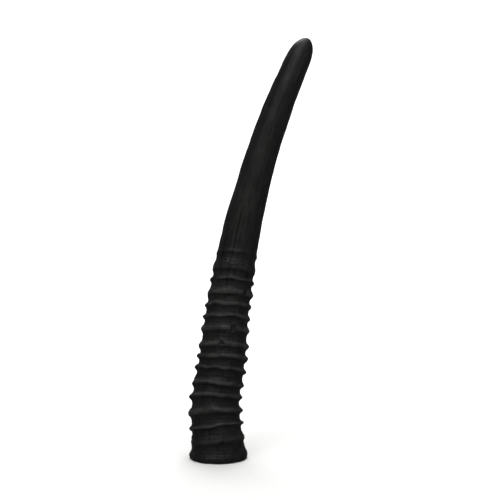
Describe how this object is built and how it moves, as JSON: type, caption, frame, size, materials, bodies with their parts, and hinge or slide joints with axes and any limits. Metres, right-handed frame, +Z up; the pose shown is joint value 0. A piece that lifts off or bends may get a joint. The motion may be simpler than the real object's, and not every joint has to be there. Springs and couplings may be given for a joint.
{
  "type": "gemsbok horn",
  "caption": "Single gemsbok horn, black and ringed over its lower half, smooth and gently curved above, with a blunt tip; it stands on its flat-cut base.",
  "frame": {"origin": "centre of the flat cut at the horn's base", "axes": "+Z up the horn from the cut, +X the way the horn curves over"},
  "size_m": [0.1644, 0.0788, 0.5528],
  "materials": {
    "keratin": "satin black horn, slightly greyer on the ring crests"
  },
  "bodies": {
    "root": {"horn": "keratin"}
  },
  "joints": []
}
